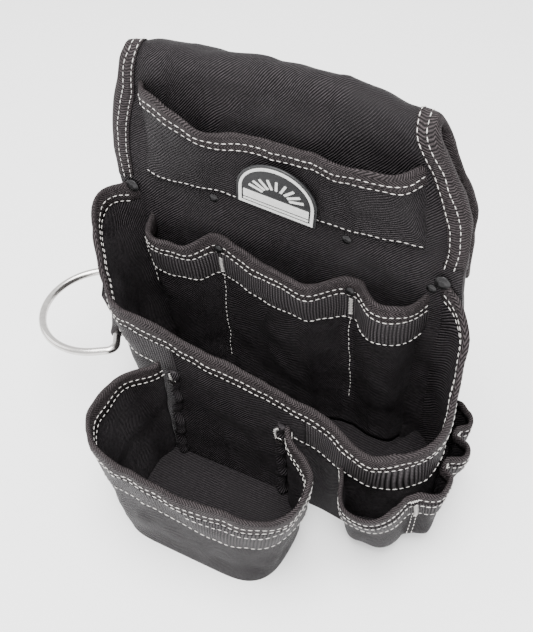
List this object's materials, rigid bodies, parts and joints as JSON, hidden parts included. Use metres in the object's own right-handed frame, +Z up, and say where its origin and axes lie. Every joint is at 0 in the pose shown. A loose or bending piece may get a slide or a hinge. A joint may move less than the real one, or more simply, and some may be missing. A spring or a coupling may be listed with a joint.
{
  "type": "tool pouch",
  "caption": "Belt-hung electrician's tool pouch: open main pouch with front, upper, inner and side pockets, a belt tunnel behind and a swinging hammer ring.",
  "frame": {"origin": "on the floor of the main pouch, under its middle, in the plane that the pouch rests on", "axes": "+X to the right seen from the front, +Y to the back, where the panel hangs on the belt, +Z up"},
  "size_m": [0.3644, 0.1976, 0.3151],
  "materials": {
    "heavy_cloth": "coarse woven nylon, matt",
    "binding_tape": "fine herringbone tape",
    "webbing_band": "ribbed webbing",
    "badge_rubber": "moulded, satin",
    "dark_rivets": "gunmetal, semi-gloss",
    "bright_rivets": "nickel, polished",
    "ring_steel": "nickel-plated wire, polished"
  },
  "bodies": {
    "pouch": {"back_panel": "heavy_cloth", "front_pouch": "heavy_cloth", "front_pouch_binding": "binding_tape", "front_pouch_rivets": "bright_rivets", "front_pouch_webbing": "webbing_band", "front_seam_welt_left": "heavy_cloth", "front_seam_welt_right": "heavy_cloth", "inner_pocket_row": "heavy_cloth", "inner_row_binding": "binding_tape", "inner_row_rivets": "dark_rivets", "inner_row_webbing": "webbing_band", "keeper_rivets": "dark_rivets", "main_pouch": "heavy_cloth", "main_rim_binding": "binding_tape", "main_rim_webbing": "webbing_band", "name_badge": "badge_rubber", "panel_binding_left": "binding_tape", "panel_binding_right": "binding_tape", "rim_rivets": "dark_rivets", "ring_keeper": "webbing_band", "seam_rivets": "dark_rivets", "side_pocket_binding": "binding_tape", "side_pocket_row": "heavy_cloth", "side_pocket_webbing": "webbing_band", "upper_pocket": "heavy_cloth", "upper_pocket_binding": "binding_tape"},
    "ring": {"hammer_ring": "ring_steel"}
  },
  "joints": [
    {"name": "hammer_ring_hinge", "type": "hinge", "parent": "pouch", "child": "ring", "pos_m": [-0.13485, 0.00948, 0.092], "axis": [-0.5105, 0.8599, 0], "range_deg": [-85, 55]}
  ]
}
